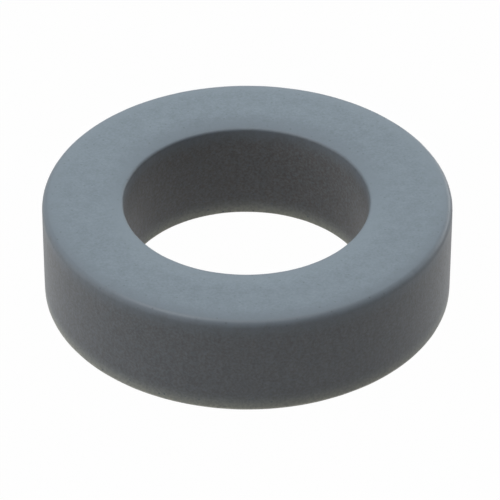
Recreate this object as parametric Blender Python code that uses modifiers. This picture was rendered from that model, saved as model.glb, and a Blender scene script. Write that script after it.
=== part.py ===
# Ferrite ring core: one pressed, sintered and tumbled ring, lying flat.
# Metres, +Z up. The origin is the middle of the underside, on the axis of the bore.

import math

import bmesh
import bpy

# Driving dimensions, in metres. The wall is measured from the bore to the outside;
# with the height it sets the magnetic section, and the bore follows from it.
OUTER_DIAMETER = 0.0250
WALL_THICKNESS = 0.0050
HEIGHT = 0.00685

# Each edge of a face is rounded twice: a low shoulder, worn into the flat face by
# tumbling, and the tighter corner that turns from the shoulder into the wall.
# A drop is how far below the flat land the shoulder meets its corner.
OUTER_CORNER_RADIUS = 0.00054
OUTER_SHOULDER_WIDTH = 0.00110
OUTER_SHOULDER_DROP = 0.000073
BORE_CORNER_RADIUS = 0.00030
BORE_SHOULDER_WIDTH = 0.00165
BORE_SHOULDER_DROP = 0.00018

# One edge's rounding takes no more than these shares of the ring's wall and height,
# so that a flat land and a straight wall are left at any size.
EDGE_SHARE_OF_WALL = 0.45
CORNER_SHARE_OF_WALL = 0.2
CORNER_SHARE_OF_HEIGHT = 0.4

# Facets: steps around the ring, and the turn that one facet of an arc may take
RING_STEPS = 96
SHOULDER_FACET = math.radians(2.6)
CORNER_FACET = math.radians(15.0)

# Points of the section closer than this are one point
MERGE_DISTANCE = 0.00001

# Sintered ferrite: a dull, slightly blue dark grey ceramic
FERRITE_SRGB = (0x68, 0x72, 0x7B)
FERRITE_ROUGHNESS = 0.75
FERRITE_METALLIC = 0.0
FERRITE_IOR = 2.0

OUTER_RADIUS = OUTER_DIAMETER / 2.0
BORE_RADIUS = OUTER_RADIUS - WALL_THICKNESS
HALF_HEIGHT = HEIGHT / 2.0
LEVEL = 0.0
UPRIGHT = math.pi / 2.0


def clear_scene():
    for old_object in list(bpy.data.objects):
        bpy.data.objects.remove(old_object, do_unlink=True)


def srgb_to_linear(channel):
    share = channel / 255.0
    if share <= 0.04045:
        return share / 12.92
    return ((share + 0.055) / 1.055) ** 2.4


def ferrite_material():
    material = bpy.data.materials.new("sintered_ferrite")
    material.use_nodes = True
    colour = tuple(srgb_to_linear(channel) for channel in FERRITE_SRGB) + (1.0,)
    shader = material.node_tree.nodes["Principled BSDF"]
    shader.inputs["Base Color"].default_value = colour
    shader.inputs["Roughness"].default_value = FERRITE_ROUGHNESS
    shader.inputs["Metallic"].default_value = FERRITE_METALLIC
    shader.inputs["IOR"].default_value = FERRITE_IOR
    material.diffuse_color = colour
    return material


def arc_points(centre_x, centre_z, radius, side, start, end, facet):
    # Points on an arc from one tilt of its surface to another. The arc falls
    # away outwards for side 1 and towards the bore for side -1.
    segments = max(1, math.ceil((end - start) / facet))
    points = []
    for index in range(segments + 1):
        tilt = start + (end - start) * index / segments
        x = centre_x + side * radius * math.sin(tilt)
        z = centre_z + radius * math.cos(tilt)
        points.append((x, z))
    return points


def edge_points(wall_radius, side, corner, width, drop):
    # One rounded edge from the flat land to the wall, with heights measured from
    # the ring's middle plane. The shoulder leaves the land level and meets the
    # corner at a common slope, so the surface has no crease.
    corner = min(corner, CORNER_SHARE_OF_WALL * WALL_THICKNESS, CORNER_SHARE_OF_HEIGHT * HEIGHT)
    slope = 2.0 * math.atan2(drop, width)
    corner_run = corner * (1.0 - math.sin(slope))
    width = min(width, EDGE_SHARE_OF_WALL * WALL_THICKNESS - corner_run)
    shoulder_radius = width / math.sin(slope)
    corner_top = HALF_HEIGHT - shoulder_radius * (1.0 - math.cos(slope))
    land_end = wall_radius - side * (corner_run + width)
    shoulder = arc_points(land_end, HALF_HEIGHT - shoulder_radius, shoulder_radius,
                          side, LEVEL, slope, SHOULDER_FACET)
    turn = arc_points(wall_radius - side * corner, corner_top - corner * math.cos(slope), corner,
                      side, slope, UPRIGHT, CORNER_FACET)
    return shoulder + turn[1:]


def half_section():
    # The upper half of the ring's section at +X: up the bore, over the face
    # and down the outer wall, open at the middle plane.
    bore_edge = edge_points(BORE_RADIUS, -1.0, BORE_CORNER_RADIUS,
                            BORE_SHOULDER_WIDTH, BORE_SHOULDER_DROP)
    outer_edge = edge_points(OUTER_RADIUS, 1.0, OUTER_CORNER_RADIUS,
                             OUTER_SHOULDER_WIDTH, OUTER_SHOULDER_DROP)
    bore_edge.reverse()
    return [(BORE_RADIUS, 0.0)] + bore_edge + outer_edge + [(OUTER_RADIUS, 0.0)]


def section_mesh(name):
    section = bmesh.new()
    points = [section.verts.new((x, 0.0, z)) for x, z in half_section()]
    for start, end in zip(points, points[1:]):
        section.edges.new((start, end))
    mesh = bpy.data.meshes.new(name)
    section.to_mesh(mesh)
    section.free()
    return mesh


def add_ferrite_core(collection):
    core = bpy.data.objects.new("ferrite_core", section_mesh("ferrite_core"))
    core.data.materials.append(ferrite_material())
    core.location = (0.0, 0.0, HALF_HEIGHT)
    collection.objects.link(core)

    turn = core.modifiers.new("turn about the bore", "SCREW")
    turn.axis = "Z"
    turn.angle = math.tau
    turn.screw_offset = 0.0
    turn.steps = RING_STEPS
    turn.render_steps = RING_STEPS
    turn.use_merge_vertices = True
    turn.merge_threshold = MERGE_DISTANCE
    turn.use_smooth_shade = True

    halves = core.modifiers.new("lower half", "MIRROR")
    halves.use_axis = (False, False, True)
    halves.use_clip = True
    halves.merge_threshold = MERGE_DISTANCE
    return core


def build():
    clear_scene()
    collection = bpy.data.collections.new("Ferrite core")
    bpy.context.scene.collection.children.link(collection)
    add_ferrite_core(collection)


build()
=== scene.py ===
import math
import random

import bpy
from mathutils import Matrix, Vector, noise


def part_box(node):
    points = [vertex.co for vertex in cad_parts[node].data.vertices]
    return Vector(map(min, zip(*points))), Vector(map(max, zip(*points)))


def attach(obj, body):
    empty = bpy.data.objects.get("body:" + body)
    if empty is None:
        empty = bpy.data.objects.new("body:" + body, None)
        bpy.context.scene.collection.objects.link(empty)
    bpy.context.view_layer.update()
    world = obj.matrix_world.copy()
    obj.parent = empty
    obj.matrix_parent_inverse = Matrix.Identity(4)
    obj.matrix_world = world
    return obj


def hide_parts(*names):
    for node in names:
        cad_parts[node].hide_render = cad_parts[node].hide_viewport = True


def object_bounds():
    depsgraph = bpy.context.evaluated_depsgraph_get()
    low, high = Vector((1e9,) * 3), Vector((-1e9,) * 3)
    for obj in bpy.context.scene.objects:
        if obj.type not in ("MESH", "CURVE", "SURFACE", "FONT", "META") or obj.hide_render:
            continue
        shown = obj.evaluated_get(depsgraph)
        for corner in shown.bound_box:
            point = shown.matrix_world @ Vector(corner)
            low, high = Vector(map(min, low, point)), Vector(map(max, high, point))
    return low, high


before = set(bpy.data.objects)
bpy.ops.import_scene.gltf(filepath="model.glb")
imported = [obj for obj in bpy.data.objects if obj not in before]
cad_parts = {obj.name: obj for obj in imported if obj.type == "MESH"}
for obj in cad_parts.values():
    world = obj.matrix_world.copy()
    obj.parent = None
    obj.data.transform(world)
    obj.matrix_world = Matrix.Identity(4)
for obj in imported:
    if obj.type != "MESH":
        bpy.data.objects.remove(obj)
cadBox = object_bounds()
print("ferrite core: packed model loaded")

mm = 0.001
ringMiddle = Vector((0.0, 0.0, cadBox[1][2] / 2.0))


# small helpers

def hexToLinear(hexColour):
    # sRGB hex to the linear colour that the sockets take
    linear = []
    for start in (1, 3, 5):
        share = int(hexColour[start:start + 2], 16) / 255.0
        linear.append(share / 12.92 if share <= 0.04045 else ((share + 0.055) / 1.055) ** 2.4)
    return (linear[0], linear[1], linear[2], 1.0)


def perMetre(width):
    # scale of a pattern from its real width in mm
    return 1.0 / (width * mm)


def addNode(material, kind, inputs=None, **settings):
    # one node with its settings; an input is a value, or another node's output
    node = material.node_tree.nodes.new(kind)
    for name, value in settings.items():
        setattr(node, name, value)
    for name, value in (inputs or {}).items():
        if isinstance(value, bpy.types.NodeSocket):
            material.node_tree.links.new(value, node.inputs[name])
        else:
            node.inputs[name].default_value = value
    return node


def smoothStep(low, high, value):
    share = min(1.0, max(0.0, (value - low) / (high - low)))
    return share * share * (3.0 - 2.0 * share)


def noiseShare(point):
    # smooth noise as a share from 0 to 1
    return 0.5 + 0.5 * noise.noise(point)


# the ring, lying flat; all its sizes are in mm

ferriteCore = {
    # worn edges: a low shoulder off the flat face, wide and deep, then the corner into the wall
    "outerCorner": 0.47,
    "outerShoulder": (0.85, 0.080),
    "boreCorner": 0.19,
    "boreShoulder": (1.65, 0.18),
    "wall": 5.0,
    "boreOff": 0.06,    # the pressed bore is a hair off the middle, towards -X
    # how strongly each wall takes the die's lines and the painted wall shade, from 0 to 1
    "outerLinesAndShade": 0.73,
    "boreLinesAndShade": 1.0,
    "wallTurn": (0.6, 0.95),    # the lines and the painted shade start, and are full, where a surface faces out this much
    # mesh
    "stepsAround": 600,
    "flatSpacing": 0.175,
    "cornerSpacing": 0.05,
    # relief: how deep, and how wide one swell is
    "swells": ((0.0040, 2.6), (0.0030, 0.7)),
    "edgeWear": (0.014, 0.9),
    "edgeReach": (0.25, 1.5),    # wear is full this near to a corner, and ends this far off
    "wearShift": (7.0, 3.0, 5.0),    # sets the noise of the wear off from that of the swells
    "pits": 70,
    "pitWidth": (0.26, 0.50),
    "pitDepth": (0.006, 0.018),
    "seed": 25,
}
pitTurn = 0.12    # radians round the ring, more than any pit reaches


def arcPoints(centre, radius, side, start, end, spacing):
    # an arc from one tilt of the surface to another, falling away outwards for side 1
    # and towards the bore for side -1
    count = max(2, math.ceil(radius * (end - start) / spacing))
    points = []
    for index in range(count + 1):
        tilt = start + (end - start) * index / count
        points.append((centre[0] + side * radius * math.sin(tilt),
                       centre[1] + radius * math.cos(tilt)))
    return points


def wornEdge(wallRadius, halfHeight, side, corner, shoulder, core):
    # from the flat land over the shoulder and round the corner to the wall
    width, drop = shoulder
    slope = 2.0 * math.atan2(drop, width)
    cornerRun = corner * (1.0 - math.sin(slope))
    shoulderRadius = width / math.sin(slope)
    cornerTop = halfHeight - shoulderRadius * (1.0 - math.cos(slope))
    landEnd = wallRadius - side * (cornerRun + width)
    over = arcPoints((landEnd, halfHeight - shoulderRadius), shoulderRadius,
                     side, 0.0, slope, core["flatSpacing"])
    turn = arcPoints((wallRadius - side * corner, cornerTop - corner * math.cos(slope)), corner,
                     side, slope, math.pi / 2.0, core["cornerSpacing"])
    return over + turn[1:]


def straightPoints(start, end, spacing):
    # points between two corners, without the two ends
    count = max(1, round(math.dist(start, end) / spacing))
    return [(start[0] + (end[0] - start[0]) * i / count,
             start[1] + (end[1] - start[1]) * i / count) for i in range(1, count)]


def ringSection(outerRadius, halfHeight, core):
    # closed section at +X: over the top, down the outer wall, back below and up the bore
    boreRadius = outerRadius - core["wall"]
    outer = wornEdge(outerRadius, halfHeight, 1, core["outerCorner"], core["outerShoulder"], core)
    bore = wornEdge(boreRadius, halfHeight, -1, core["boreCorner"], core["boreShoulder"], core)
    bore.reverse()
    top = bore + straightPoints(bore[-1], outer[0], core["flatSpacing"]) + outer
    bottom = [(x, -z) for x, z in reversed(top)]
    outerWall = straightPoints(top[-1], bottom[0], core["flatSpacing"])
    boreWall = straightPoints(bottom[-1], top[0], core["flatSpacing"])
    return top + outerWall + bottom + boreWall


def sectionNormals(section):
    normals = []
    for index, here in enumerate(section):
        before = section[index - 1]
        after = section[(index + 1) % len(section)]
        dx, dz = after[0] - before[0], after[1] - before[1]
        length = math.hypot(dx, dz)
        normals.append((-dz / length, dx / length))
    return normals


def edgeShare(radius, z, outerRadius, halfHeight, core):
    # 1 on the corners, 0 on the land and the middle of the walls
    boreRadius = outerRadius - core["wall"]
    toWall = min(outerRadius - radius, radius - boreRadius)
    toFace = halfHeight - abs(z)
    near, far = core["edgeReach"]
    return 1.0 - smoothStep(near, far, math.hypot(max(toWall, 0.0), max(toFace, 0.0)))


def wallShare(normal, core):
    # 0 on the faces that the punches pressed; on the walls, the share for the die's lines and for
    # the painted wall shade
    wallMark = core["outerLinesAndShade"] if normal[0] > 0.0 else core["boreLinesAndShade"]
    low, high = core["wallTurn"]
    return wallMark * smoothStep(low, high, abs(normal[0]))


def scatterPits(section, core):
    # centre, half width and depth of each pit
    pick = random.Random(core["seed"])
    pits = []
    for _ in range(core["pits"]):
        x, z = pick.choice(section)
        turn = pick.uniform(0.0, math.tau)
        width = pick.uniform(*core["pitWidth"])
        depth = pick.uniform(*core["pitDepth"])
        pits.append((Vector((x * math.cos(turn), x * math.sin(turn), z)), width / 2.0, depth))
    return pits


def reliefDepth(point, edge, pits, core):
    # how far the sintered skin lies below the true section, never above it
    depth = 0.0
    for amount, width in core["swells"]:
        depth += amount * noiseShare(point / width)
    amount, width = core["edgeWear"]
    depth += edge * amount * noiseShare(point / width + Vector(core["wearShift"]))
    for centre, half, pitDepth in pits:
        away = (point - centre).length / half
        if away < 1.0:
            depth += pitDepth * (1.0 - away * away) ** 2
    return max(depth, 0.0)


def ringFaces(count, steps):
    # quads between each section and the next one round, closed both ways
    faces = []
    for step in range(steps):
        here, there = step * count, (step + 1) % steps * count
        for index in range(count):
            after = (index + 1) % count
            faces.append((here + index, here + after, there + after, there + index))
    return faces


def makeFerriteCore(core):
    low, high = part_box("ferrite_core")
    outerRadius = (high[0] - low[0]) / 2.0 / mm
    halfHeight = (high[2] - low[2]) / 2.0 / mm
    middle = (high[2] + low[2]) / 2.0 / mm
    section = ringSection(outerRadius, halfHeight, core)
    normals = sectionNormals(section)
    edges = [edgeShare(x, z, outerRadius, halfHeight, core) for x, z in section]
    walls = [wallShare(normal, core) for normal in normals]
    pits = scatterPits(section, core)

    steps = core["stepsAround"]
    verts = []
    for step in range(steps):
        turn = math.tau * step / steps
        outward = Vector((math.cos(turn), math.sin(turn), 0.0))
        nearPits = [pit for pit in pits
                    if pit[0].xy.normalized().dot(outward.xy) > math.cos(pitTurn)]
        for (x, z), (nx, nz), edge in zip(section, normals, edges):
            point = outward * x + Vector((0.0, 0.0, z))
            point.x -= core["boreOff"] * (outerRadius - x) / core["wall"]
            depth = reliefDepth(point, edge, nearPits, core)
            point -= (outward * nx + Vector((0.0, 0.0, nz))) * depth
            verts.append((point + Vector((0.0, 0.0, middle))) * mm)

    mesh = bpy.data.meshes.new("sinteredRing")
    mesh.from_pydata(verts, [], ringFaces(len(section), steps))
    mesh.shade_smooth()
    # the second attribute is the walls' share for the die's lines and for the painted wall shade
    for name, shares in (("edgeWear", edges), ("wallLinesAndShade", walls)):
        mesh.attributes.new(name, "FLOAT", "POINT").data.foreach_set("value", shares * steps)
    mesh.update()
    ring = bpy.data.objects.new("sinteredRing", mesh)
    bpy.context.scene.collection.objects.link(ring)
    return ring


# sintered ferrite: iron oxide ceramic, pressed from powder, fired and tumbled. A dull,
# slightly blue dark grey with a fine grain. The die leaves faint upright lines on the walls,
# and the walls are tinted warmer and darker, which is painted shade. Tumbling evens the grain
# out on the edges and burnishes the surface, which gives a soft sheen. The foot's edges are
# painted paler towards the bottom, which is painted light from the bright table.

sinteredFerrite = {
    "grainDark": "#5B656E",
    "grainLight": "#747E87",
    "grainBand": (0.34, 0.66),    # values of the pattern that are all dark and all light
    # mm; true grains are 0.01 mm, so they are drawn as clusters of ten or more
    "clusterWidth": 0.16,
    "mottleWidth": 0.7,
    "cloudWidth": 4.0,
    "mottleShare": 0.48,
    "cloudShare": 0.12,
    # where most of the noise lies: wide for mottle and lines, narrow for clusters
    "wideBand": (0.3, 0.7),
    "narrowBand": (0.35, 0.65),
    # lines that the die drew, in mm
    "dragLineWidth": 0.26,
    "dragLineLength": 0.9,
    "dragLineRange": (-0.1, 1.1),
    "dragLineShare": 0.16,
    "wallShadeTint": "#BDA798",    # painted shade: tints the walls warmer and darker
    "wallShadeShare": (1.0, 0.5),    # in the hollows, and over the raised grains
    "wornEdge": "#6A747D",
    "wornShare": (0.55, 1.0),
    # painted light: a pale colour on the foot's edges, for the bright table's light on them
    "footLight": "#DCDBC6",
    "footLightShare": 0.62,    # painted light, on the foot's edges
    "footLightUneven": (0.7, 1.3),
    "footLightHeight": 0.90,    # mm over which most of it goes
    "footLightStart": (0.06, 0.24),    # mm up: none below the first, full above the second
    # mm; true pores are 0.02 mm, drawn coarser so that they show
    "pore": "#57616A",
    "poreSpacing": 0.55,
    "poreWidth": 0.12,
    "poreSoftness": 0.4,
    "roughness": 0.70,
    "roughnessSpread": 0.04,
    "ior": 1.5,
    "grainHeight": 0.0016,    # mm
    "burnish": 0.35,
    "burnishRoughness": 0.35,
}


def makeSinteredFerrite(look):
    material = bpy.data.materials.new("sinteredFerrite")
    material.use_nodes = True
    material.node_tree.nodes.clear()

    where = addNode(material, "ShaderNodeTexCoord").outputs["Object"]
    edge = addNode(material, "ShaderNodeAttribute", attribute_name="edgeWear").outputs["Fac"]
    wall = addNode(material, "ShaderNodeAttribute", attribute_name="wallLinesAndShade").outputs["Fac"]
    wideLow, wideHigh = look["wideBand"]
    narrowLow, narrowHigh = look["narrowBand"]

    # grain clusters under mottle and wide clouds
    clusters = addNode(material, "ShaderNodeTexNoise",
                       {"Vector": where, "Scale": perMetre(look["clusterWidth"]),
                        "Detail": 2.0, "Roughness": 0.6}).outputs["Fac"]
    mottle = addNode(material, "ShaderNodeTexNoise",
                     {"Vector": where, "Scale": perMetre(look["mottleWidth"]),
                      "Detail": 3.0, "Roughness": 0.55}).outputs["Fac"]
    cloud = addNode(material, "ShaderNodeTexNoise",
                    {"Vector": where, "Scale": perMetre(look["cloudWidth"]),
                     "Detail": 1.0}).outputs["Fac"]
    mottled = addNode(material, "ShaderNodeMix",
                      {"Factor": look["mottleShare"], "A": clusters, "B": mottle},
                      data_type="FLOAT").outputs["Result"]
    clouded = addNode(material, "ShaderNodeMix",
                      {"Factor": look["cloudShare"], "A": mottled, "B": cloud},
                      data_type="FLOAT").outputs["Result"]

    # upright lines that the die drew on the walls
    lineScale = perMetre(look["dragLineWidth"])
    squeezed = addNode(material, "ShaderNodeMapping",
                       {"Vector": where,
                        "Scale": (lineScale, lineScale, perMetre(look["dragLineLength"]))})
    lines = addNode(material, "ShaderNodeTexNoise",
                    {"Vector": squeezed.outputs["Vector"], "Scale": 1.0, "Detail": 2.0})
    strong = addNode(material, "ShaderNodeMapRange",
                     {"Value": lines.outputs["Fac"], "From Min": wideLow, "From Max": wideHigh,
                      "To Min": look["dragLineRange"][0], "To Max": look["dragLineRange"][1]},
                     clamp=False)
    lineShare = addNode(material, "ShaderNodeMath", {0: wall, 1: look["dragLineShare"]},
                        operation="MULTIPLY")
    drawn = addNode(material, "ShaderNodeMix",
                    {"Factor": lineShare.outputs[0], "A": clouded, "B": strong.outputs["Result"]},
                    data_type="FLOAT")

    grain = addNode(material, "ShaderNodeValToRGB", {"Fac": drawn.outputs["Result"]})
    darkEnd, lightEnd = grain.color_ramp.elements
    darkEnd.position, lightEnd.position = look["grainBand"]
    darkEnd.color = hexToLinear(look["grainDark"])
    lightEnd.color = hexToLinear(look["grainLight"])

    # painted shade: the walls tinted warmer and darker, thinner over the raised grains
    thinner = addNode(material, "ShaderNodeMapRange",
                      {"Value": clusters, "From Min": narrowLow, "From Max": narrowHigh,
                       "To Min": look["wallShadeShare"][0], "To Max": look["wallShadeShare"][1]})
    wallMark = addNode(material, "ShaderNodeMath", {0: wall, 1: thinner.outputs["Result"]},
                   operation="MULTIPLY")
    wallShaded = addNode(material, "ShaderNodeMix",
                      {"Factor": wallMark.outputs[0], "A": grain.outputs["Color"],
                       "B": hexToLinear(look["wallShadeTint"])},
                      data_type="RGBA", blend_type="MULTIPLY")

    # edges with less grain, unevenly worn
    patchy = addNode(material, "ShaderNodeMapRange",
                     {"Value": mottle, "From Min": wideLow, "From Max": wideHigh,
                      "To Min": look["wornShare"][0], "To Max": look["wornShare"][1]})
    worn = addNode(material, "ShaderNodeMath", {0: edge, 1: patchy.outputs["Result"]},
                   operation="MULTIPLY")
    evened = addNode(material, "ShaderNodeMix",
                     {"Factor": worn.outputs[0], "A": wallShaded.outputs["Result"],
                      "B": hexToLinear(look["wornEdge"])}, data_type="RGBA")

    # painted light: the foot's edges painted pale where the bright table lights them; none right
    # at the bottom, thinning out upwards
    height = addNode(material, "ShaderNodeSeparateXYZ", {"Vector": where}).outputs["Z"]
    scaled = addNode(material, "ShaderNodeMath", {0: height, 1: -perMetre(look["footLightHeight"])},
                     operation="MULTIPLY")
    thinned = addNode(material, "ShaderNodeMath", {0: scaled.outputs[0]}, operation="EXPONENT")
    kept = addNode(material, "ShaderNodeMapRange",
                   {"Value": height, "From Min": look["footLightStart"][0] * mm,
                    "From Max": look["footLightStart"][1] * mm})
    left = addNode(material, "ShaderNodeMath",
                   {0: thinned.outputs[0], 1: kept.outputs["Result"]}, operation="MULTIPLY")
    caught = addNode(material, "ShaderNodeMath", {0: left.outputs[0], 1: edge},
                     operation="MULTIPLY")
    uneven = addNode(material, "ShaderNodeMapRange",
                     {"Value": clusters, "From Min": narrowLow, "From Max": narrowHigh,
                      "To Min": look["footLightShare"] * look["footLightUneven"][0],
                      "To Max": look["footLightShare"] * look["footLightUneven"][1]})
    paintedFootLight = addNode(material, "ShaderNodeMath",
                     {0: caught.outputs[0], 1: uneven.outputs["Result"]},
                     operation="MULTIPLY", use_clamp=True)
    footLitColour = addNode(material, "ShaderNodeMix",
                     {"Factor": paintedFootLight.outputs[0], "A": evened.outputs["Result"],
                      "B": hexToLinear(look["footLight"])}, data_type="RGBA")

    # scattered dark pores, 1 inside and 0 outside
    cells = addNode(material, "ShaderNodeTexVoronoi",
                    {"Vector": where, "Scale": perMetre(look["poreSpacing"])})
    poreSize = look["poreWidth"] / look["poreSpacing"] / 2.0
    pores = addNode(material, "ShaderNodeMapRange",
                    {"Value": cells.outputs["Distance"],
                     "From Min": poreSize * (1.0 - look["poreSoftness"]),
                     "From Max": poreSize * (1.0 + look["poreSoftness"]),
                     "To Min": 1.0, "To Max": 0.0}).outputs["Result"]
    colour = addNode(material, "ShaderNodeMix",
                     {"Factor": pores, "A": footLitColour.outputs["Result"],
                      "B": hexToLinear(look["pore"])}, data_type="RGBA")

    dull = addNode(material, "ShaderNodeMapRange",
                   {"Value": mottle, "From Min": wideLow, "From Max": wideHigh,
                    "To Min": look["roughness"] - look["roughnessSpread"],
                    "To Max": look["roughness"] + look["roughnessSpread"]})
    pitted = addNode(material, "ShaderNodeMath", {0: clusters, 1: pores}, operation="SUBTRACT")
    bump = addNode(material, "ShaderNodeBump",
                   {"Height": pitted.outputs[0], "Strength": 1.0,
                    "Distance": look["grainHeight"] * mm})
    shader = addNode(material, "ShaderNodeBsdfPrincipled",
                     {"Base Color": colour.outputs["Result"], "Roughness": dull.outputs["Result"],
                      "IOR": look["ior"], "Metallic": 0.0, "Normal": bump.outputs["Normal"],
                      "Coat Weight": look["burnish"],
                      "Coat Roughness": look["burnishRoughness"]})
    addNode(material, "ShaderNodeOutputMaterial", {"Surface": shader.outputs["BSDF"]})
    return material


ring = makeFerriteCore(ferriteCore)
ring.data.materials.append(makeSinteredFerrite(sinteredFerrite))
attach(ring, "root")
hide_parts("ferrite_core")
print("ferrite core: ring with", len(ring.data.polygons), "faces")


# the white ground and room

def seenDirectly(material):
    # 1 for the rays that show what they meet: straight, mirrored or clear through, and
    # 0 for those that a dull surface or an opal sheet has scattered
    rays = addNode(material, "ShaderNodeLightPath")
    straight = addNode(material, "ShaderNodeMath",
                       {0: rays.outputs["Is Camera Ray"], 1: rays.outputs["Is Glossy Ray"]},
                       operation="MAXIMUM")
    through = addNode(material, "ShaderNodeMath",
                      {0: rays.outputs["Is Transmission Ray"], 1: rays.outputs["Is Diffuse Ray"]},
                      operation="SUBTRACT", use_clamp=True)
    seen = addNode(material, "ShaderNodeMath", {0: straight.outputs[0], 1: through.outputs[0]},
                   operation="MAXIMUM")
    return seen.outputs[0]


# the table it lies on: an opal sheet with a soft box beneath, as small parts are
# photographed on, so that the foot of the ring isn't lost in the dark

opalTable = {
    "size": 4.0,    # m
    "gap": 0.01,    # mm below the ring
    "sheet": "#E8E4DF",
    "clearness": 0.84,    # share of the light that goes through
    "whiteness": 0.985,    # how white it shows; the rest of it takes the ring's shadow
}


def makeOpalTable(table):
    half = table["size"] / 2.0
    z = -table["gap"] * mm
    mesh = bpy.data.meshes.new("opalTable")
    mesh.from_pydata([(-half, -half, z), (half, -half, z), (half, half, z), (-half, half, z)],
                     [], [(0, 1, 2, 3)])
    floor = bpy.data.objects.new("opalTable", mesh)
    bpy.context.scene.collection.objects.link(floor)

    material = bpy.data.materials.new("opalSheet")
    material.use_nodes = True
    material.node_tree.nodes.clear()
    sheetColour = hexToLinear(table["sheet"])
    top = addNode(material, "ShaderNodeBsdfDiffuse", {"Color": sheetColour})
    through = addNode(material, "ShaderNodeBsdfTranslucent", {"Color": sheetColour})
    sheet = addNode(material, "ShaderNodeMixShader",
                    {0: table["clearness"], 1: top.outputs[0], 2: through.outputs[0]})
    white = addNode(material, "ShaderNodeEmission", {"Strength": 1.0})
    whiteShare = addNode(material, "ShaderNodeMath",
                         {0: seenDirectly(material), 1: table["whiteness"]}, operation="MULTIPLY")
    ground = addNode(material, "ShaderNodeMixShader",
                     {0: whiteShare.outputs[0], 1: sheet.outputs[0], 2: white.outputs[0]})
    # from below the sheet is clear, so that it hides nothing of the underside
    rays = addNode(material, "ShaderNodeLightPath")
    geometry = addNode(material, "ShaderNodeNewGeometry")
    below = addNode(material, "ShaderNodeMath",
                    {0: geometry.outputs["Backfacing"], 1: rays.outputs["Is Camera Ray"]},
                    operation="MULTIPLY")
    clear = addNode(material, "ShaderNodeBsdfTransparent")
    sided = addNode(material, "ShaderNodeMixShader",
                    {0: below.outputs[0], 1: ground.outputs[0], 2: clear.outputs[0]})
    addNode(material, "ShaderNodeOutputMaterial", {"Surface": sided.outputs[0]})
    mesh.materials.append(material)
    return floor


def makeWhiteRoom():
    # white at strength 1 wherever it is seen, straight or mirrored, and no light otherwise
    world = bpy.data.worlds.new("whiteRoom")
    bpy.context.scene.world = world
    world.use_nodes = True
    world.node_tree.nodes.clear()
    white = addNode(world, "ShaderNodeBackground",
                    {"Color": (1.0, 1.0, 1.0, 1.0), "Strength": seenDirectly(world)})
    addNode(world, "ShaderNodeOutputWorld", {"Surface": white.outputs[0]})


makeOpalTable(opalTable)
makeWhiteRoom()
print("ferrite core: table and room set")


# studio light: one soft box under the table and seven on a dome round the ring

softBoxes = {
    # degrees round from +X, degrees up, width and height in m, brightness, colour
    "tableBox": (0.0, -90.0, 0.60, 0.60, 0.98, "#FFFFFF"),
    "overheadBox": (90.0, 90.0, 0.30, 0.24, 2.63, "#FFFFFF"),
    "highLeftBox": (180.0, 66.0, 0.20, 0.16, 5.13, "#FFFFFF"),
    "highBackBox": (90.0, 48.0, 0.24, 0.14, 1.62, "#D9F3FF"),
    "backBox": (90.0, 28.0, 0.28, 0.12, 2.75, "#D7F4FF"),
    "lowRightBackBox": (45.0, 12.0, 0.31, 0.09, 5.45, "#FFFFFF"),
    "lowLeftBox": (180.0, 12.0, 0.31, 0.09, 3.10, "#FFFFFF"),
    "lowLeftFrontBox": (225.0, 12.0, 0.31, 0.09, 1.29, "#FFFFFF"),
}
boxDistance = 0.40    # m from the middle of the ring


def addSoftBox(name, around, up, width, height, brightness, colour):
    # brightness is that of its face, on the scale where 1 shows as white
    lamp = bpy.data.lights.new(name, "AREA")
    lamp.shape = "RECTANGLE"
    lamp.size = width
    lamp.size_y = height
    lamp.energy = brightness * math.pi * width * height
    lamp.color = hexToLinear(colour)[:3]
    box = bpy.data.objects.new(name, lamp)
    bpy.context.scene.collection.objects.link(box)
    a, u = math.radians(around), math.radians(up)
    away = Vector((math.cos(a) * math.cos(u), math.sin(a) * math.cos(u), math.sin(u)))
    box.location = ringMiddle + away * boxDistance
    box.rotation_euler = away.to_track_quat("Z", "Y").to_euler()


for boxName, boxSettings in softBoxes.items():
    addSoftBox(boxName, *boxSettings)
print("ferrite core: light set")


# camera, from the outlines of the ring in the picture

camera = {
    "distance": 237.8,    # mm from the middle of the ring
    "below": 36.54,    # degrees that it looks down
    "roll": 0.075,    # degrees
    "picture": 500,    # pixels, wide and high
    "focal": 3875.5,    # in those pixels
    "middle": (247.27, 242.23),    # pixel where the middle of the ring shows
    "sensor": 36.0,    # mm
    "clip": (0.01, 50.0),    # m
}


def makeCamera(view):
    lens = bpy.data.cameras.new("camera")
    lens.sensor_width = view["sensor"]
    lens.lens = view["focal"] / view["picture"] * view["sensor"]
    lens.clip_start, lens.clip_end = view["clip"]
    eye = bpy.data.objects.new("camera", lens)
    bpy.context.scene.collection.objects.link(eye)

    down = math.radians(view["below"])
    right = Vector((1.0, 0.0, 0.0))
    forward = Vector((0.0, math.cos(down), -math.sin(down)))
    up = right.cross(forward)
    half = view["picture"] / 2.0
    aim = Vector(((view["middle"][0] - half) / view["focal"],
                  (view["middle"][1] - half) / view["focal"], 1.0))
    aim = aim.normalized() * view["distance"] * mm
    place = Matrix.Translation(ringMiddle - aim.x * right + aim.y * up - aim.z * forward)
    facing = Matrix((right, up, -forward)).transposed().to_4x4()
    roll = Matrix.Rotation(math.radians(view["roll"]), 4, "Z")
    eye.matrix_world = place @ facing @ roll
    bpy.context.scene.camera = eye


makeCamera(camera)
bpy.context.scene.view_settings.view_transform = "Standard"
print("ferrite core: camera set")
